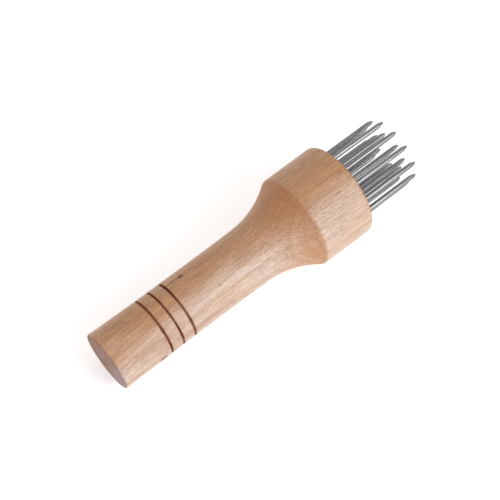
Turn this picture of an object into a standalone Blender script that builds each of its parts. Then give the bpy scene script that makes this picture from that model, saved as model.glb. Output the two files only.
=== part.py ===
"""Needle pricker: a turned wooden handle whose wide head holds twenty pointed steel needles.

The tool's axis is +X. The origin is the centre of the flat butt, and the needles point along +X.
Everything is made along a local Z axis, and one empty lays it down along the row's X axis.
"""

import math
import random

import bpy
from mathutils import Matrix, Vector

MM = 0.001

# The wooden handle, from the butt at 0 to the front face of the head.
HANDLE_LENGTH = 143.8 * MM
BUTT_RADIUS = 15.3 * MM
BUTT_EDGE = 1.0 * MM
WAIST_AT = 45.0 * MM
WAIST_RADIUS = 14.85 * MM
FLARE_AT = 84.5 * MM
FLARE_ROOT_RADIUS = 15.15 * MM
FLARE_SWEEP = 50.0 * MM  # radius of the hollow curve that widens the grip into the head
SHOULDER_RADIUS = 25.0 * MM
SHOULDER_ROUND = 4.0 * MM
HEAD_RADIUS = 25.2 * MM  # at the front face, a hair wider than at the shoulder
HEAD_EDGE = 2.0 * MM

# Three decorative grooves burnt into the grip, near the butt.
FIRST_GROOVE_AT = 27.1 * MM
GROOVE_PITCH = 6.9 * MM
GROOVE_COUNT = 3
GROOVE_WIDTH = 1.1 * MM
GROOVE_DEPTH = 0.55 * MM

# The needles, cut from round steel wire and ground to a four-sided point.
NEEDLE_RADIUS = 1.3 * MM
NEEDLE_OUT = 35.0 * MM  # length standing out of the head
NEEDLE_SET = 20.0 * MM  # length held in the wood
POINT_LENGTH = 3.3 * MM
POINT_BLUNT = 0.4 * MM  # half the width of the flat left on the point
HOLE_GAP = 0.1 * MM
DRILL_TIP = math.radians(118.0)
DRILL_SPARE = 1.0 * MM  # the hole's cutter starts this far outside the wood

# Twelve needles stand round the edge, seven inside them and one in the middle. Each ring: its name, how
# many needles it has, its radius, and where its first needle stands, in degrees from +Y towards +Z.
RINGS = (
    ("outer", 12, 18.0 * MM, 30),
    ("inner", 7, 10.0 * MM, 58),
    ("centre", 1, 0.0 * MM, 0),
)
# Hand-drilled holes: each is off its place by up to the wander, and out of true by up to the lean.
HOLE_WANDER = 0.8 * MM
HOLE_LEAN = math.radians(0.8)
SEED = 12

# Facets round a turned piece and round a needle, and points along an arc.
TURN_STEPS = 48
NEEDLE_SIDES = 16
ARC_STEPS = 4
FLARE_STEPS = 10
GRIP_STEPS = 3
MERGE = 0.01 * MM


def clear_scene():
    for old in list(bpy.data.objects):
        bpy.data.objects.remove(old)


def new_collection(name):
    made = bpy.data.collections.new(name)
    bpy.context.scene.collection.children.link(made)
    return made


def new_material(name, colour, roughness, metallic):
    made = bpy.data.materials.new(name)
    made.use_nodes = True
    shader = made.node_tree.nodes["Principled BSDF"]
    shader.inputs["Base Color"].default_value = (*colour, 1.0)
    shader.inputs["Roughness"].default_value = roughness
    shader.inputs["Metallic"].default_value = metallic
    return made


def arc(centre, radius, start, end, steps):
    """Points along an arc in the profile's plane: (distance from the axis, height). Angles are in degrees."""
    points = []
    for i in range(steps + 1):
        angle = math.radians(start + (end - start) * i / steps)
        points.append((centre[0] + radius * math.cos(angle), centre[1] + radius * math.sin(angle)))
    return points


def grip_radius(height):
    """The grip narrows to a waist near the grooves and swells gently towards both ends."""
    if height < WAIST_AT:
        swell = BUTT_RADIUS - WAIST_RADIUS
        share = (WAIST_AT - height) / WAIST_AT
    else:
        swell = FLARE_ROOT_RADIUS - WAIST_RADIUS
        share = (height - WAIST_AT) / (FLARE_AT - WAIST_AT)
    return WAIST_RADIUS + swell * share**2


def groove(centre):
    """A round-bottomed groove: its two lips and its floor, from the head's side down."""
    half = GROOVE_WIDTH / 2
    floor = grip_radius(centre) - GROOVE_DEPTH
    return [
        (grip_radius(centre + half), centre + half),
        (floor, centre + half * 0.35),
        (floor, centre - half * 0.35),
        (grip_radius(centre - half), centre - half),
    ]


def grip():
    """The grip's side, from the foot of the flare down to the butt, with its grooves."""
    points = []
    top = FLARE_AT
    for i in reversed(range(GROOVE_COUNT)):
        middle = FIRST_GROOVE_AT + i * GROOVE_PITCH
        points += plain_grip(top, middle + GROOVE_WIDTH / 2)
        points += groove(middle)
        top = middle - GROOVE_WIDTH / 2
    return points + plain_grip(top, BUTT_EDGE)


def plain_grip(top, bottom):
    """Points between two heights of the grip, without the two ends; a short stretch needs none."""
    steps = GRIP_STEPS if top - bottom > 2 * GROOVE_PITCH else 1
    heights = [top + (bottom - top) * i / steps for i in range(1, steps)]
    return [(grip_radius(height), height) for height in heights]


def flare():
    """The hollow curve between grip and head: its height is found where it meets the shoulder's rounding."""
    centre = (FLARE_ROOT_RADIUS + FLARE_SWEEP, FLARE_AT)
    # The rounding touches the hollow curve from outside and the head's side from inside.
    round_out = SHOULDER_RADIUS - SHOULDER_ROUND
    between = FLARE_SWEEP + SHOULDER_ROUND
    round_at = FLARE_AT + math.sqrt(between**2 - (centre[0] - round_out) ** 2)
    meet = math.degrees(math.asin((round_at - FLARE_AT) / between))
    shoulder = arc((round_out, round_at), SHOULDER_ROUND, 0, -meet, ARC_STEPS)
    hollow = arc(centre, FLARE_SWEEP, 180 - meet, 180, FLARE_STEPS)
    return shoulder + hollow[1:]


def handle_profile():
    """The outline from the middle of the front face, down the outer side, to the middle of the butt."""
    front = arc((HEAD_RADIUS - HEAD_EDGE, HANDLE_LENGTH - HEAD_EDGE), HEAD_EDGE, 90, 0, ARC_STEPS)
    butt = arc((grip_radius(0) - BUTT_EDGE, BUTT_EDGE), BUTT_EDGE, 0, -90, ARC_STEPS)
    return [(0, HANDLE_LENGTH)] + front + flare() + grip() + butt + [(0, 0)]


def turned(name, profile, steps, collection):
    """A solid of revolution about local Z, from its outline."""
    mesh = bpy.data.meshes.new(name)
    corners = [(radius, 0, height) for radius, height in profile]
    mesh.from_pydata(corners, [(i, i + 1) for i in range(len(corners) - 1)], [])
    made = bpy.data.objects.new(name, mesh)
    collection.objects.link(made)
    screw = made.modifiers.new("turn", "SCREW")
    screw.axis = "Z"
    screw.steps = screw.render_steps = steps
    screw.use_merge_vertices = True
    screw.merge_threshold = MERGE
    screw.use_smooth_shade = False
    return made


def drilled_hole(name, collection):
    """The cutter for one hole: a cylinder with a drill's conical tip. Its local origin is at the wood's surface."""
    radius = NEEDLE_RADIUS + HOLE_GAP
    bottom = -NEEDLE_SET - HOLE_GAP
    tip = bottom - radius / math.tan(DRILL_TIP / 2)
    profile = [(0, DRILL_SPARE), (radius, DRILL_SPARE), (radius, bottom), (0, tip)]
    made = turned(name, profile, NEEDLE_SIDES, collection)
    made.hide_render = True
    made.display_type = "WIRE"
    return made


def needle_mesh():
    """The mesh that every needle shares: round wire met by a long four-sided pyramid, which leaves the point."""
    top, bottom = NEEDLE_OUT, -NEEDLE_SET
    bpy.ops.mesh.primitive_cylinder_add(
        vertices=NEEDLE_SIDES, radius=NEEDLE_RADIUS, depth=top - bottom, location=(0, 0, (top + bottom) / 2)
    )
    wire = bpy.context.object
    # A corner of the wire lies on local X, as in the hole, so that the gap is even all round.
    wire.data.transform(Matrix.Rotation(math.pi / 2, 4, "Z"))
    slope = (NEEDLE_RADIUS - POINT_BLUNT) / POINT_LENGTH
    corner = math.sqrt(2)  # from a square's side to its corner
    height = top - bottom + 2 * DRILL_SPARE
    bpy.ops.mesh.primitive_cone_add(
        vertices=4,
        radius1=(POINT_BLUNT + slope * height) * corner,
        radius2=POINT_BLUNT * corner,
        depth=height,
        location=(0, 0, top - height / 2),
    )
    pyramid = bpy.context.object
    meet = wire.modifiers.new("point", "BOOLEAN")
    meet.operation = "INTERSECT"
    meet.object = pyramid
    shaped = wire.evaluated_get(bpy.context.evaluated_depsgraph_get())
    mesh = bpy.data.meshes.new_from_object(shaped)
    mesh.name = "needle"
    mesh.transform(wire.matrix_world)
    for used in (wire, pyramid):
        bpy.data.objects.remove(used)
    return mesh


def across(degrees):
    """A direction across the axis. Laid along the row's X, local X points down and local Y stays."""
    angle = math.radians(degrees)
    return Vector((-math.sin(angle), math.cos(angle), 0))


def needle_places():
    """Each needle's name and the matrix that carries it from local Z to its hole in the head."""
    chance = random.Random(SEED)
    for ring, count, radius, first in RINGS:
        for number in range(count):
            place = across(first + 360 * number / count) * radius
            wander = across(chance.uniform(0, 360)) * chance.uniform(0, HOLE_WANDER)
            entry = place + wander + Vector((0, 0, HANDLE_LENGTH))
            lean = Matrix.Rotation(chance.uniform(0, HOLE_LEAN), 4, across(chance.uniform(0, 360)))
            spin = Matrix.Rotation(math.radians(chance.uniform(0, 90)), 4, "Z")
            yield f"needle_{ring}_{number + 1:02d}", Matrix.Translation(entry) @ lean @ spin


def main():
    clear_scene()
    tool = new_collection("needle_pricker")
    cutters = new_collection("cutters")
    wood = new_material("wood", (0.62, 0.40, 0.24), 0.45, 0.0)
    steel = new_material("steel", (0.42, 0.42, 0.44), 0.3, 1.0)

    laid_down = bpy.data.objects.new("tool_axis", None)
    laid_down.rotation_euler = (0, math.pi / 2, 0)
    tool.objects.link(laid_down)

    handle = turned("handle", handle_profile(), TURN_STEPS, tool)
    handle.parent = laid_down
    handle.data.materials.append(wood)
    drill = handle.modifiers.new("needle_holes", "BOOLEAN")
    drill.operation = "DIFFERENCE"
    drill.operand_type = "COLLECTION"
    drill.collection = cutters

    mesh = needle_mesh()
    mesh.materials.clear()
    mesh.materials.append(steel)
    for name, place in needle_places():
        hole = drilled_hole(name.replace("needle", "hole"), cutters)
        hole.parent = laid_down
        hole.matrix_local = place
        needle = bpy.data.objects.new(name, mesh)
        tool.objects.link(needle)
        needle.parent = laid_down
        needle.matrix_local = place
    bpy.context.view_layer.update()


main()
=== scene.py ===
"""Looks for the needle pricker: a turned beech handle with burnt rings, and twenty ground steel needles.

The scene is in metres in the row frame: +X runs from the butt to the needle points.
Shapes are drawn in millimetres about their own Z axis and laid in place. Materials work in millimetres
too: the wood in the row frame, and the steel along each needle, whose point is at 0.
"""

import math

import bpy
from mathutils import Matrix, Vector


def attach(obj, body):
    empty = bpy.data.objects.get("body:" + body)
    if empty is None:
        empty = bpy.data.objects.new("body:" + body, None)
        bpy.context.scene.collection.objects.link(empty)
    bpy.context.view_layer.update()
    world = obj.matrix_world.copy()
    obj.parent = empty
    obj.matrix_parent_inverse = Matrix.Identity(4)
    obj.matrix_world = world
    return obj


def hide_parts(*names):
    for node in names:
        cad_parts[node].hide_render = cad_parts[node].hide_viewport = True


MM = 0.001

# The handle's outline, in mm: the CAD model's, with a crisper shoulder and slightly wider grooves.
HANDLE_LENGTH = 143.8
BUTT_RADIUS, BUTT_EDGE = 15.3, 1.0
WAIST_AT, WAIST_RADIUS = 45.0, 14.85
FLARE_AT, FLARE_ROOT_RADIUS, FLARE_SWEEP = 84.5, 15.15, 50.0
SHOULDER_RADIUS, SHOULDER_ROUND = 25.0, 3.6
HEAD_RADIUS, HEAD_EDGE = 25.2, 2.0
FIRST_GROOVE_AT, GROOVE_PITCH, GROOVE_COUNT = 27.1, 6.9, 3
GROOVES_AT = [FIRST_GROOVE_AT + i * GROOVE_PITCH for i in range(GROOVE_COUNT)]
GROOVE_WIDTH, GROOVE_DEPTH, GROOVE_LIP = 1.15, 0.55, 0.22

# The needles and their holes, in mm.
NEEDLE_RADIUS = 1.3
POINT_LENGTH = 3.3
POINT_BLUNT = 0.40  # half the width of the flat left on the point
HOLE_RADIUS = 1.38
HOLE_DEPTH = 20.2
HOLE_MOUTH = 0.28  # how wide and how deep the worn rim of a hole is
DRILL_TIP = 118.0  # degrees across the cone at the bottom of a hole
NEEDLE_EASE = 0.06  # the width of the bevel on a needle's edges
END_SLICE = 0.3  # how much of a CAD needle's end is taken as its tip

# Facets round the handle, round a hole and round a needle, and about how far apart, in mm, the points
# of the plain grip's outline are.
TURN_STEPS = 144
HOLE_STEPS = 24
NEEDLE_SIDES = 28
GRIP_STEP = 2.0

# The camera stands about this far round the tool from straight above. Across the tool, FACING points at the
# camera and UPPER at the side that is towards the top left of the view.
CAMERA_ROUND = math.radians(21.33)
UPPER = Vector((0, math.cos(CAMERA_ROUND), math.sin(CAMERA_ROUND)))
FACING = Vector((0, -math.sin(CAMERA_ROUND), math.cos(CAMERA_ROUND)))

# The wood, in mm: where the tree's pith was, and the width of a year's growth.
PITH = (0.0, 46.0, -28.0)
RING_WIDTH = 3.1
GRAIN_CREST, GRAIN_BOW = 95.0, 0.0005  # where the grain crests, and how fast it bows away from there
# A pin knot, its streak, and a scuff near the butt: (middle, reach, strength).
BLEMISHES = (
    ((50.0, 7.4, 12.8), (2.0, 1.6, 1.6), 0.95),
    ((45.6, 7.7, 12.7), (5.0, 1.0, 1.0), 0.6),
    ((22.0, -14.6, -2.9), (3.2, 3.7, 3.7), 1.0),
)

# Colours, as linear red, green, blue and opacity.
# Heartwood and sapwood: the step between them is partly painted light, with painted shade in the upper
# side's heartwood and a painted sheen in the lower side's pale sapwood.
HEARTWOOD_AND_PAINTED_SHADE = (0.505, 0.272, 0.143, 1.0)
SAPWOOD_AND_PAINTED_SHEEN = (0.630, 0.487, 0.402, 1.0)
DARK_STREAK = (0.44, 0.222, 0.110, 1.0)
PALE_PATCH = (0.63, 0.420, 0.280, 1.0)
LATE_WOOD = (0.38, 0.19, 0.095, 1.0)
PORE = (0.22, 0.105, 0.055, 1.0)
OILED_WOOD = (0.47, 0.25, 0.13, 1.0)
END_RING = (0.20, 0.095, 0.060, 1.0)
BLEMISH = (0.20, 0.056, 0.012, 1.0)
BURNT_WOOD = (0.165, 0.042, 0.018, 1.0)
DULL_STEEL, CLEAN_STEEL = (0.250, 0.247, 0.255, 1.0), (0.310, 0.307, 0.317, 1.0)
PALE_FLOOR = (0.90, 0.90, 0.90, 1.0)
WHITE = (1.0, 1.0, 1.0, 1.0)

# Tints, which multiply a colour.
FIBRE_DARKER, FIBRE_LIGHTER = (0.91, 0.86, 0.81, 1.0), (1.05, 1.06, 1.07, 1.0)
OIL_TINT = (0.92, 0.69, 0.47, 1.0)
# The butt's tint is partly end-grain colour and partly painted shade.
BUTT_TINT_AND_PAINTED_SHADE, FRONT_STAIN = (0.53, 0.46, 0.63, 1.0), (0.78, 0.72, 0.74, 1.0)

CAMERA_AT = Vector((-0.0807, -0.2003, 0.5171))
CAMERA_AIM = Vector((0.08806, 0.00226, 0.0))
CAMERA_LENS = 86.48

# The tool lies on the table on its butt's rim and on its shoulder. The stage is in metres.
BUTT_REST = Vector((0.0006, 0, -0.0153))
SHOULDER_REST = Vector((0.1176, 0, -0.02505))
FLOOR_RADIUS, FLOOR_THICKNESS = 0.32, 0.004
FLOOR_GAP = 0.0001  # between the tool and the table
FLOOR_MIDDLE = 0.08  # how far from the butt, along the table, its middle is
FLOOR_GLOW = 0.38  # the table top gives off a little light, which keeps shadows faint

# The one lamp is a soft box. From the camera's side it is turned down round the tool, then tipped
# towards the needles.
TOOL_MIDDLE = Vector((0.09, 0, 0))
LAMP_ROUND = math.radians(31)
LAMP_TIPPED = math.radians(17)
WORLD_LIGHT = 0.75


# ---------------------------------------------------------------- small helpers

def arc(centre, radius, start, end, steps):
    """Points along an arc, as (distance from the axis, height). Angles are in degrees."""
    points = []
    for i in range(steps + 1):
        angle = math.radians(start + (end - start) * i / steps)
        points.append((centre[0] + radius * math.cos(angle), centre[1] + radius * math.sin(angle)))
    return points


def between(start, end, steps):
    """Points on the straight line from start to end, without its ends."""
    return [
        tuple(a + (b - a) * i / steps for a, b in zip(start, end))
        for i in range(1, steps)
    ]


def turned(name, profile, steps):
    """A solid of revolution about Z, in millimetres, from its outline."""
    mesh = bpy.data.meshes.new(name)
    mesh.from_pydata([(r, 0, h) for r, h in profile], [(i, i + 1) for i in range(len(profile) - 1)], [])
    made = bpy.data.objects.new(name, mesh)
    bpy.context.scene.collection.objects.link(made)
    screw = made.modifiers.new("turn", "SCREW")
    screw.axis = "Z"
    screw.steps = screw.render_steps = steps
    screw.use_merge_vertices = True
    screw.merge_threshold = 0.001
    return made


def finished_mesh(source, name, sharp_degrees):
    """The object's mesh with its modifiers applied, smooth except at sharp edges."""
    made = bpy.data.meshes.new_from_object(source.evaluated_get(bpy.context.evaluated_depsgraph_get()))
    made.name = name
    made.shade_smooth()
    made.set_sharp_from_angle(angle=math.radians(sharp_degrees))
    return made


def placed(at, axis, corner):
    """The matrix that carries a piece made along Z to a point and an axis in the row frame."""
    z = axis.normalized()
    x = (corner - z * corner.dot(z)).normalized()
    y = z.cross(x)
    return Matrix.Translation(at) @ Matrix((x, y, z)).transposed().to_4x4()


# From millimetres to metres, and from a piece drawn along Z to one that lies along the tool.
IN_MM = Matrix.Scale(MM, 4)
LAID = placed(Vector((0, 0, 0)), Vector((1, 0, 0)), Vector((0, 0, -1))) @ IN_MM


# ---------------------------------------------------------------- node helpers

class Nodes:
    """Short ways to add nodes to one material. Inputs are sockets or plain values."""

    def __init__(self, name):
        self.material = bpy.data.materials.new(name)
        self.material.use_nodes = True
        self.tree = self.material.node_tree
        self.shader = self.tree.nodes["Principled BSDF"]

    def add(self, kind, **settings):
        made = self.tree.nodes.new(kind)
        for key, value in settings.items():
            setattr(made, key, value)
        return made

    def put(self, socket, value):
        if isinstance(value, bpy.types.NodeSocket):
            self.tree.links.new(value, socket)
        else:
            socket.default_value = value

    def math(self, operation, *values, clamp=False):
        made = self.add("ShaderNodeMath", operation=operation, use_clamp=clamp)
        for socket, value in zip(made.inputs, values):
            self.put(socket, value)
        return made.outputs[0]

    def vector(self, operation, *values):
        made = self.add("ShaderNodeVectorMath", operation=operation)
        for socket, value in zip(made.inputs, values):
            self.put(socket, value)
        return made.outputs["Value" if operation in ("DOT_PRODUCT", "LENGTH") else "Vector"]

    def step(self, value, low, high, start=0.0, end=1.0):
        """Goes smoothly from start at low to end at high."""
        made = self.add("ShaderNodeMapRange", interpolation_type="SMOOTHSTEP")
        for socket, number in zip(made.inputs, (value, low, high, start, end)):
            self.put(socket, number)
        return made.outputs[0]

    def mix(self, factor, first, second, blend="MIX"):
        """Two colours mixed. The node's sockets 6 and 7 take the colours, and its output 2 is a colour."""
        made = self.add("ShaderNodeMix", data_type="RGBA", blend_type=blend)
        self.put(made.inputs["Factor"], factor)
        self.put(made.inputs[6], first)
        self.put(made.inputs[7], second)
        return made.outputs[2]

    def noise(self, vector, scale, detail, roughness, colour=False):
        made = self.add("ShaderNodeTexNoise")
        self.put(made.inputs["Vector"], vector)
        made.inputs["Scale"].default_value = scale
        made.inputs["Detail"].default_value = detail
        made.inputs["Roughness"].default_value = roughness
        return made.outputs["Color" if colour else "Fac"]

    def stretched(self, vector, along, across, offset=(0.0, 0.0, 0.0)):
        """Coordinates in which one unit is `along` mm along the grain and `across` mm across it."""
        made = self.add("ShaderNodeMapping")
        self.put(made.inputs["Vector"], vector)
        made.inputs["Scale"].default_value = (1 / along, 1 / across, 1 / across)
        made.inputs["Location"].default_value = offset
        return made.outputs[0]


# ---------------------------------------------------------------- materials

def beech(name, gloss):
    """Steamed beech, sanded and oiled: straight grain, dark pores, redder where it is cut across."""
    n = Nodes(name)
    coordinates = n.add("ShaderNodeTexCoord")
    place = in_mm(n, coordinates)
    along = along_tool(n, place)
    tilt = n.math("ABSOLUTE", along_tool(n, coordinates.outputs["Normal"]))

    grain = grain_place(n, place, along)
    fibres = n.noise(n.stretched(grain, 24, 0.62), 1.0, 2.0, 0.55)
    hairs = n.noise(n.stretched(grain, 5.0, 0.38, (5.0, 8.0, 2.0)), 1.0, 1.0, 0.5)
    late = late_wood(n, grain)
    marks = pores(n, grain)
    burn = burnt_rings(n, place, along)

    colour = sanded_colour(n, place, grain, late, fibres, hairs)
    colour = n.mix(marks, colour, PORE)
    colour = cut_across(n, colour, place, along, tilt, late)
    for middle, reach, strength in BLEMISHES:
        mark = n.math("MULTIPLY", spot(n, place, middle, reach), strength)
        colour = n.mix(mark, colour, BLEMISH)
    n.put(n.shader.inputs["Base Color"], n.mix(burn, colour, BURNT_WOOD))

    rough = n.step(fibres, 0.3, 0.7, 0.48, 0.36)
    rough = n.math("ADD", rough, n.step(tilt, 0.1, 0.9, 0.0, 0.2))
    rough = n.math("ADD", rough, n.math("MULTIPLY", burn, 0.25), clamp=True)
    n.put(n.shader.inputs["Roughness"], rough)
    n.shader.inputs["Specular IOR Level"].default_value = gloss

    relief = n.math("ADD", n.math("MULTIPLY", fibres, 0.7), n.math("MULTIPLY", hairs, 0.3))
    bump = n.add("ShaderNodeBump")
    bump.inputs["Strength"].default_value = 0.6
    bump.inputs["Distance"].default_value = 0.12 * MM
    n.put(bump.inputs["Height"], n.math("SUBTRACT", relief, n.math("MULTIPLY", marks, 0.8)))
    n.put(n.shader.inputs["Normal"], bump.outputs[0])
    return n.material


def grain_place(n, place, along):
    """Places as the grain sees them: it bows up to a crest and wanders gently along the handle."""
    slow = n.noise(n.stretched(place, 95, 24), 1.0, 1.0, 0.35, colour=True)
    sway = n.vector("MULTIPLY", n.vector("SUBTRACT", slow, (0.5, 0.5, 0.5)), (0.0, 4.5, 4.5))
    from_crest = n.math("SUBTRACT", along, GRAIN_CREST)
    squared = repeated(n, n.math("MULTIPLY", from_crest, from_crest))
    bow = n.vector("MULTIPLY", squared, tuple(UPPER * GRAIN_BOW))
    return n.vector("ADD", n.vector("ADD", place, bow), sway)


def late_wood(n, grain):
    """The dark part of each year's growth, in rings round a pith that was well outside the blank."""
    across = n.vector("MULTIPLY", n.vector("SUBTRACT", grain, PITH), (0.0, 1.0, 1.0))
    ring = n.math("FRACT", n.math("DIVIDE", n.vector("LENGTH", across), RING_WIDTH))
    return n.math("MULTIPLY", n.step(ring, 0.35, 0.93), n.step(ring, 1.0, 0.95))


def sanded_colour(n, place, grain, late, fibres, hairs):
    """The colour along the grain: heartwood on the upper side, paler sapwood on the lower side, which faces
    the lamp. The step between the sides is partly painted light: painted shade on the upper side and a
    painted sheen on the lower side.
    """
    streaks = n.noise(n.stretched(grain, 75, 3.6), 1.0, 3.0, 0.55)
    flecks = n.noise(n.stretched(place, 1.3, 0.55, (4.0, 2.0, 6.0)), 1.0, 1.0, 0.5)
    patches = n.noise(n.stretched(grain, 50, 13, (3.0, 1.0, 5.0)), 1.0, 2.0, 0.5)
    # Which side a place is on: the side towards the lamp takes the pale sapwood with its painted sheen, the
    # upper side the heartwood with its painted shade.
    side = n.vector("DOT_PRODUCT", grain, tuple(-UPPER))
    side = n.math("ADD", side, n.math("MULTIPLY", n.math("SUBTRACT", patches, 0.5), 14.0))
    colour = n.mix(n.step(side, -7.0, 6.0), HEARTWOOD_AND_PAINTED_SHADE, SAPWOOD_AND_PAINTED_SHEEN)
    colour = n.mix(n.step(streaks, 0.40, 0.70, 0.0, 0.45), colour, DARK_STREAK)
    colour = n.mix(n.step(patches, 0.50, 0.72, 0.0, 0.50), colour, PALE_PATCH)
    colour = n.mix(n.math("MULTIPLY", late, 0.25), colour, LATE_WOOD)
    lines = n.mix(n.step(fibres, 0.34, 0.66), FIBRE_DARKER, FIBRE_LIGHTER)
    colour = n.mix(1.0, colour, lines, "MULTIPLY")
    colour = shade(n, colour, n.step(hairs, 0.32, 0.68, 0.87, 1.10))
    return shade(n, colour, n.step(flecks, 0.30, 0.70, 0.92, 1.07))


def pores(n, grain):
    """Pores: short and long dashes along the grain, in crowds."""
    short = n.noise(n.stretched(grain, 3.0, 0.45, (7.0, 3.0, 1.0)), 1.0, 1.0, 0.5)
    long = n.noise(n.stretched(grain, 9.0, 0.50, (2.0, 6.0, 9.0)), 1.0, 1.0, 0.5)
    crowd = n.noise(n.stretched(grain, 24, 6, (1.0, 9.0, 4.0)), 1.0, 1.0, 0.5)
    crowd = n.step(crowd, 0.38, 0.62, 0.25, 1.0)
    short = n.math("MULTIPLY", n.step(short, 0.60, 0.70), crowd)
    long = n.math("MULTIPLY", n.step(long, 0.65, 0.73), crowd)
    return n.math("MAXIMUM", n.math("MULTIPLY", short, 0.60), n.math("MULTIPLY", long, 0.50))


def cut_across(n, colour, place, along, tilt, late):
    """Where the grain is cut across, oil darkens it in specks, and its flat ends show the rings."""
    oiled = n.math("MULTIPLY", n.step(tilt, 0.05, 0.60, 0.0, 0.70), n.step(along, 60.0, 80.0))
    colour = n.mix(n.math("MULTIPLY", oiled, 0.65), colour, OILED_WOOD)
    colour = n.mix(oiled, colour, OIL_TINT, "MULTIPLY")
    specks = n.noise(n.stretched(place, 1.8, 0.62), 1.0, 1.0, 0.5)
    specked = shade(n, colour, n.step(specks, 0.32, 0.68, 0.84, 1.12))
    colour = n.mix(n.step(tilt, 0.10, 0.45, 0.0, 0.8), colour, specked)
    # The butt is tinted greyer and darker than the front face: end-grain colour with painted shade on the
    # butt, the end that faces away from the lamp.
    end_grain = n.step(tilt, 0.50, 0.95)
    stain = n.mix(n.step(along, 60.0, 120.0), BUTT_TINT_AND_PAINTED_SHADE, FRONT_STAIN)
    blotches = n.step(n.noise(place, 0.35, 3.0, 0.6), 0.30, 0.70, 0.70, 1.0)
    colour = n.mix(n.math("MULTIPLY", end_grain, blotches), colour, stain, "MULTIPLY")
    rings = n.math("MULTIPLY", n.math("MULTIPLY", late, end_grain), 0.40)
    return n.mix(rings, colour, END_RING)


def spot(n, place, middle, reach):
    """An ellipsoid that is full out to half its reach and fades away from there."""
    scaled = n.vector("DIVIDE", n.vector("SUBTRACT", place, middle), reach)
    return n.step(n.vector("LENGTH", scaled), 1.0, 0.5)


def in_mm(n, coordinates):
    """The piece's own coordinates, in millimetres."""
    return n.vector("MULTIPLY", coordinates.outputs["Object"], (1 / MM, 1 / MM, 1 / MM))


def along_tool(n, vector):
    """How much of a vector runs along the tool."""
    made = n.add("ShaderNodeSeparateXYZ")
    n.put(made.inputs[0], vector)
    return made.outputs["X"]


def repeated(n, amount):
    """One number as all three parts of a vector."""
    made = n.add("ShaderNodeCombineXYZ")
    for socket in made.inputs:
        n.put(socket, amount)
    return made.outputs[0]


def shade(n, colour, amount):
    """The colour times an amount."""
    return n.mix(1.0, colour, repeated(n, amount), "MULTIPLY")


def burnt_rings(n, place, along):
    """How burnt the wood is: full in the grooves, fading out over an uneven, scorched edge."""
    nearest = n.math("ROUND", n.math("DIVIDE", n.math("SUBTRACT", along, FIRST_GROOVE_AT), GROOVE_PITCH))
    nearest = n.math("MINIMUM", n.math("MAXIMUM", nearest, 0.0), GROOVE_COUNT - 1)
    middle = n.math("ADD", n.math("MULTIPLY", nearest, GROOVE_PITCH), FIRST_GROOVE_AT)
    distance = n.math("ABSOLUTE", n.math("SUBTRACT", along, middle))
    uneven = n.noise(place, 0.16, 3.0, 0.6)
    reach = n.step(uneven, 0.3, 0.7, 0.75, 1.05)
    scorched = n.math("SUBTRACT", 1.0, n.math("DIVIDE", distance, reach), clamp=True)
    strength = n.step(n.noise(place, 0.09, 2.0, 0.5), 0.35, 0.65, 0.68, 1.0)
    return n.math("MULTIPLY", n.step(scorched, 0.0, 0.45), strength)


def steel():
    """Drawn steel wire: grey, with faint stains and lengthwise marks."""
    n = Nodes("needle_steel")
    place = in_mm(n, n.add("ShaderNodeTexCoord"))
    marks = n.noise(n.vector("MULTIPLY", place, (1.6, 1.6, 0.08)), 1.0, 1.0, 0.5)
    stain = n.noise(n.vector("MULTIPLY", place, (0.5, 0.5, 0.12)), 1.0, 2.0, 0.5)
    colour = n.mix(n.step(stain, 0.3, 0.7), DULL_STEEL, CLEAN_STEEL)
    colour = shade(n, colour, n.step(marks, 0.3, 0.7, 0.94, 1.05))
    n.put(n.shader.inputs["Base Color"], colour)
    n.shader.inputs["Metallic"].default_value = 1.0
    n.put(n.shader.inputs["Roughness"], n.step(stain, 0.25, 0.75, 0.30, 0.38))
    return n.material


# ---------------------------------------------------------------- pieces

def grip_radius(height):
    """The grip's radius: it is thinnest at the waist and swells gently to both sides."""
    if height < WAIST_AT:
        return WAIST_RADIUS + (BUTT_RADIUS - WAIST_RADIUS) * ((WAIST_AT - height) / WAIST_AT) ** 2
    share = (height - WAIST_AT) / (FLARE_AT - WAIST_AT)
    return WAIST_RADIUS + (FLARE_ROOT_RADIUS - WAIST_RADIUS) * share**2


def groove(middle):
    """A V-groove with softened lips and a narrow round floor, from the head's side down."""
    half = GROOVE_WIDTH / 2
    # Half of the V from its lip to its floor, as shares of the half width and of the depth.
    shape = ((1.0 + GROOVE_LIP, 0.0), (1.0, 0.04), (0.82, 0.16), (0.30, 0.88), (0.0, 1.0))
    shape += tuple((-place, depth) for place, depth in reversed(shape[:-1]))
    return [(grip_radius(middle) - depth * GROOVE_DEPTH, middle + place * half) for place, depth in shape]


def plain_grip(top, bottom):
    """The grip's outline between two heights, without its ends."""
    steps = max(1, round((top - bottom) / GRIP_STEP))
    heights = [top + (bottom - top) * i / steps for i in range(1, steps)]
    return [(grip_radius(height), height) for height in heights]


def grip():
    """The grip's outline with its grooves, from the flare down to the butt's edge."""
    reach = GROOVE_WIDTH / 2 * (1 + GROOVE_LIP)
    points, top = [], FLARE_AT
    for middle in reversed(GROOVES_AT):
        points += plain_grip(top, middle + reach) + groove(middle)
        top = middle - reach
    return points + plain_grip(top, BUTT_EDGE)


def flare():
    """The rounded shoulder and the hollow curve that runs from it into the grip."""
    centre = (FLARE_ROOT_RADIUS + FLARE_SWEEP, FLARE_AT)
    round_out = SHOULDER_RADIUS - SHOULDER_ROUND
    apart = FLARE_SWEEP + SHOULDER_ROUND  # the two arcs' centres, since one arc runs into the other
    round_at = FLARE_AT + math.sqrt(apart**2 - (centre[0] - round_out) ** 2)
    meet = math.degrees(math.asin((round_at - FLARE_AT) / apart))
    shoulder = arc((round_out, round_at), SHOULDER_ROUND, 0, -meet, steps=10)
    return shoulder + arc(centre, FLARE_SWEEP, 180 - meet, 180, steps=24)[1:]


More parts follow.
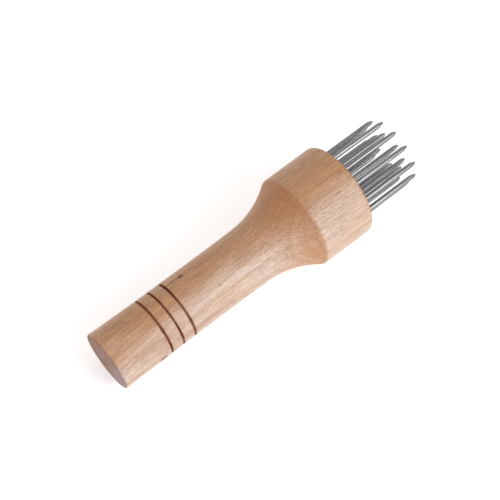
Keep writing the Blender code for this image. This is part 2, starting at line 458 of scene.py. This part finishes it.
def handle_profile():
    """The whole outline, from the middle of the front face round to the middle of the butt."""
    front_edge = (HEAD_RADIUS - HEAD_EDGE, HANDLE_LENGTH - HEAD_EDGE)
    front = arc(front_edge, HEAD_EDGE, 90, 0, steps=9)
    head = between(front[-1], flare()[0], steps=10)
    butt = arc((grip_radius(0) - BUTT_EDGE, BUTT_EDGE), BUTT_EDGE, 0, -90, steps=7)
    # The flat ends have a few rings of facets, so that none is long and thin.
    front_face = [(radius, HANDLE_LENGTH) for radius in (0, 6, 12, 18)]
    butt_face = [(radius, 0) for radius in (10, 5, 0)]
    return front_face + front + head + flare() + grip() + butt + butt_face


def hole_outline():
    """A drilled hole: a worn mouth at height 0, a straight wall and the cone that the drill leaves."""
    radius, lip = HOLE_RADIUS, HOLE_MOUTH
    outside = [(0, 1.0), (radius + lip, 1.0), (radius + lip, 0.05)]
    mouth = [(radius + lip * 0.3, -lip * 0.4), (radius, -lip)]
    tip = -HOLE_DEPTH - radius / math.tan(math.radians(DRILL_TIP / 2))
    return outside + mouth + [(radius, -HOLE_DEPTH), (0, tip)]


def hole_cutter(point, inner, corner):
    """The cutter for one needle's hole, which starts where the needle passes the front face."""
    share = (HANDLE_LENGTH * MM - inner.x) / (point.x - inner.x)
    face = inner + (point - inner) * share
    made = turned("hole", hole_outline(), HOLE_STEPS)
    made.matrix_world = LAID.inverted() @ placed(face, point - inner, corner) @ IN_MM
    return made


def make_handle(axes):
    """The turned handle with its drilled holes, one for each CAD needle."""
    blank = turned("handle_blank", handle_profile(), TURN_STEPS)
    drill = blank.modifiers.new("holes", "BOOLEAN")
    drill.operand_type = "COLLECTION"
    drill.collection = bpy.data.collections.new("cutters")
    bpy.context.scene.collection.children.link(drill.collection)
    cutters = [hole_cutter(*axis) for axis in axes]
    for cutter in cutters:
        drill.collection.objects.link(cutter)
    bpy.context.view_layer.update()
    mesh = finished_mesh(blank, "turned_handle", sharp_degrees=32)
    for used in [blank] + cutters:
        bpy.data.objects.remove(used)
    mesh.transform(LAID)
    made = bpy.data.objects.new("turned_handle", mesh)
    bpy.context.scene.collection.objects.link(made)
    return made


def cad_needle(node):
    """A CAD needle's blunt point and inner end, and the way to a corner of its four-sided point."""
    spots = [v.co.copy() for v in node.data.vertices]
    high = max(v.x for v in spots)
    low = min(v.x for v in spots)
    top = [v for v in spots if v.x > high - END_SLICE * MM]
    bottom = [v for v in spots if v.x < low + END_SLICE * MM]
    point = sum(top, Vector()) / len(top)
    inner = sum(bottom, Vector()) / len(bottom)
    return point, inner, top[0] - point


def needle_mesh(length):
    """A ground needle made in mm: its point is at 0 and its shaft runs down to -length."""
    bpy.ops.mesh.primitive_cylinder_add(
        vertices=NEEDLE_SIDES, radius=NEEDLE_RADIUS, depth=length, location=(0, 0, -length / 2)
    )
    wire = bpy.context.object
    # The four ground flats are the sides of a pyramid that reaches 2 mm past the wire's inner end.
    depth = length + 2
    slope = (NEEDLE_RADIUS - POINT_BLUNT) / POINT_LENGTH
    corner = math.sqrt(2)
    bpy.ops.mesh.primitive_cone_add(
        vertices=4,
        radius1=(POINT_BLUNT + slope * depth) * corner,
        radius2=POINT_BLUNT * corner,
        depth=depth,
        location=(0, 0, -depth / 2),
    )
    pyramid = bpy.context.object
    meet = wire.modifiers.new("point", "BOOLEAN")
    meet.operation = "INTERSECT"
    meet.object = pyramid
    soften = wire.modifiers.new("soften", "BEVEL")
    soften.width = NEEDLE_EASE
    soften.segments = 2
    soften.angle_limit = math.radians(25)
    made = finished_mesh(wire, "ground_needle", sharp_degrees=40)
    made.transform(IN_MM @ wire.matrix_world)
    for used in (wire, pyramid):
        bpy.data.objects.remove(used)
    return made


# ---------------------------------------------------------------- stage

def make_camera():
    data = bpy.data.cameras.new("camera")
    data.lens = CAMERA_LENS
    data.sensor_width = 36.0
    data.clip_start = 0.01
    made = bpy.data.objects.new("camera", data)
    made.location = CAMERA_AT
    made.rotation_mode = "QUATERNION"
    made.rotation_quaternion = (CAMERA_AIM - CAMERA_AT).to_track_quat("-Z", "Y")
    bpy.context.scene.collection.objects.link(made)
    bpy.context.scene.camera = made


def make_floor():
    """A pale round table top, just under the two places where the tool rests."""
    along = (SHOULDER_REST - BUTT_REST).normalized()
    up = along.cross(Vector((0, 1, 0)))
    bpy.ops.mesh.primitive_cylinder_add(vertices=128, radius=FLOOR_RADIUS, depth=FLOOR_THICKNESS)
    made = bpy.context.object
    made.name = "floor"
    turn = Matrix((along, up.cross(along), up)).transposed().to_4x4()
    middle = BUTT_REST + along * FLOOR_MIDDLE - up * (FLOOR_THICKNESS / 2 + FLOOR_GAP)
    made.matrix_world = Matrix.Translation(middle) @ turn
    material = bpy.data.materials.new("pale_floor")
    material.use_nodes = True
    shader = material.node_tree.nodes["Principled BSDF"]
    shader.inputs["Base Color"].default_value = PALE_FLOOR
    shader.inputs["Roughness"].default_value = 0.9
    shader.inputs["Specular IOR Level"].default_value = 0.1
    shader.inputs["Emission Color"].default_value = WHITE
    shader.inputs["Emission Strength"].default_value = FLOOR_GLOW
    made.data.materials.append(material)


def lamp_direction():
    """From the tool's middle towards the lamp."""
    across = FACING * math.cos(LAMP_ROUND) - UPPER * math.sin(LAMP_ROUND)
    return across * math.cos(LAMP_TIPPED) + Vector((1, 0, 0)) * math.sin(LAMP_TIPPED)


def make_light(name, towards, distance, width, height, power):
    """A soft box that shines on the tool's middle from a direction."""
    data = bpy.data.lights.new(name, "AREA")
    data.shape = "RECTANGLE"
    data.size, data.size_y = width, height
    data.energy = power
    made = bpy.data.objects.new(name, data)
    made.location = TOOL_MIDDLE + towards.normalized() * distance
    made.rotation_mode = "QUATERNION"
    made.rotation_quaternion = (-towards).to_track_quat("-Z", "Y")
    bpy.context.scene.collection.objects.link(made)


def make_world():
    """Even white light from all round."""
    world = bpy.data.worlds.new("studio")
    bpy.context.scene.world = world
    world.use_nodes = True
    back = world.node_tree.nodes["Background"]
    back.inputs["Color"].default_value = WHITE
    back.inputs["Strength"].default_value = WORLD_LIGHT


# ---------------------------------------------------------------- the scene

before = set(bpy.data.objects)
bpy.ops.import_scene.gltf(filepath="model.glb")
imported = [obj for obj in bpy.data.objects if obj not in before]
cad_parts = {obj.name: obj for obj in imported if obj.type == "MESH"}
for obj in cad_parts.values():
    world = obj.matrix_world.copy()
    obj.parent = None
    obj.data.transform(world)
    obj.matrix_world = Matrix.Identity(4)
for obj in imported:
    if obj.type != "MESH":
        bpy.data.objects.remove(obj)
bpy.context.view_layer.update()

needles = {name: cad_needle(node) for name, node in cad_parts.items() if name.startswith("needle")}
wood, burnt, metal = beech("beech_wood", gloss=0.45), beech("burnt_beech", gloss=0.12), steel()

handle = make_handle(needles.values())
handle.data.materials.clear()
handle.data.materials.append(wood)
handle.data.materials.append(burnt)
# Faces inside the grooves take the second material, which is the dull burnt one.
for face in handle.data.polygons:
    if any(abs(face.center.x / MM - middle) < GROOVE_WIDTH / 2 for middle in GROOVES_AT):
        face.material_index = 1
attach(handle, "root")
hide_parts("handle")

length = max((point - inner).length for point, inner, _ in needles.values()) / MM
shared = needle_mesh(length)
shared.materials.clear()
shared.materials.append(metal)
for name, (point, inner, corner) in needles.items():
    piece = bpy.data.objects.new(name.replace("needle", "ground_needle"), shared)
    piece.matrix_world = placed(point, point - inner, corner)
    bpy.context.scene.collection.objects.link(piece)
    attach(piece, "root")
    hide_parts(name)

make_camera()
make_floor()
make_light("key", lamp_direction(), distance=0.8, width=0.45, height=0.40, power=3.0)
make_world()
bpy.context.scene.view_settings.view_transform = "Standard"
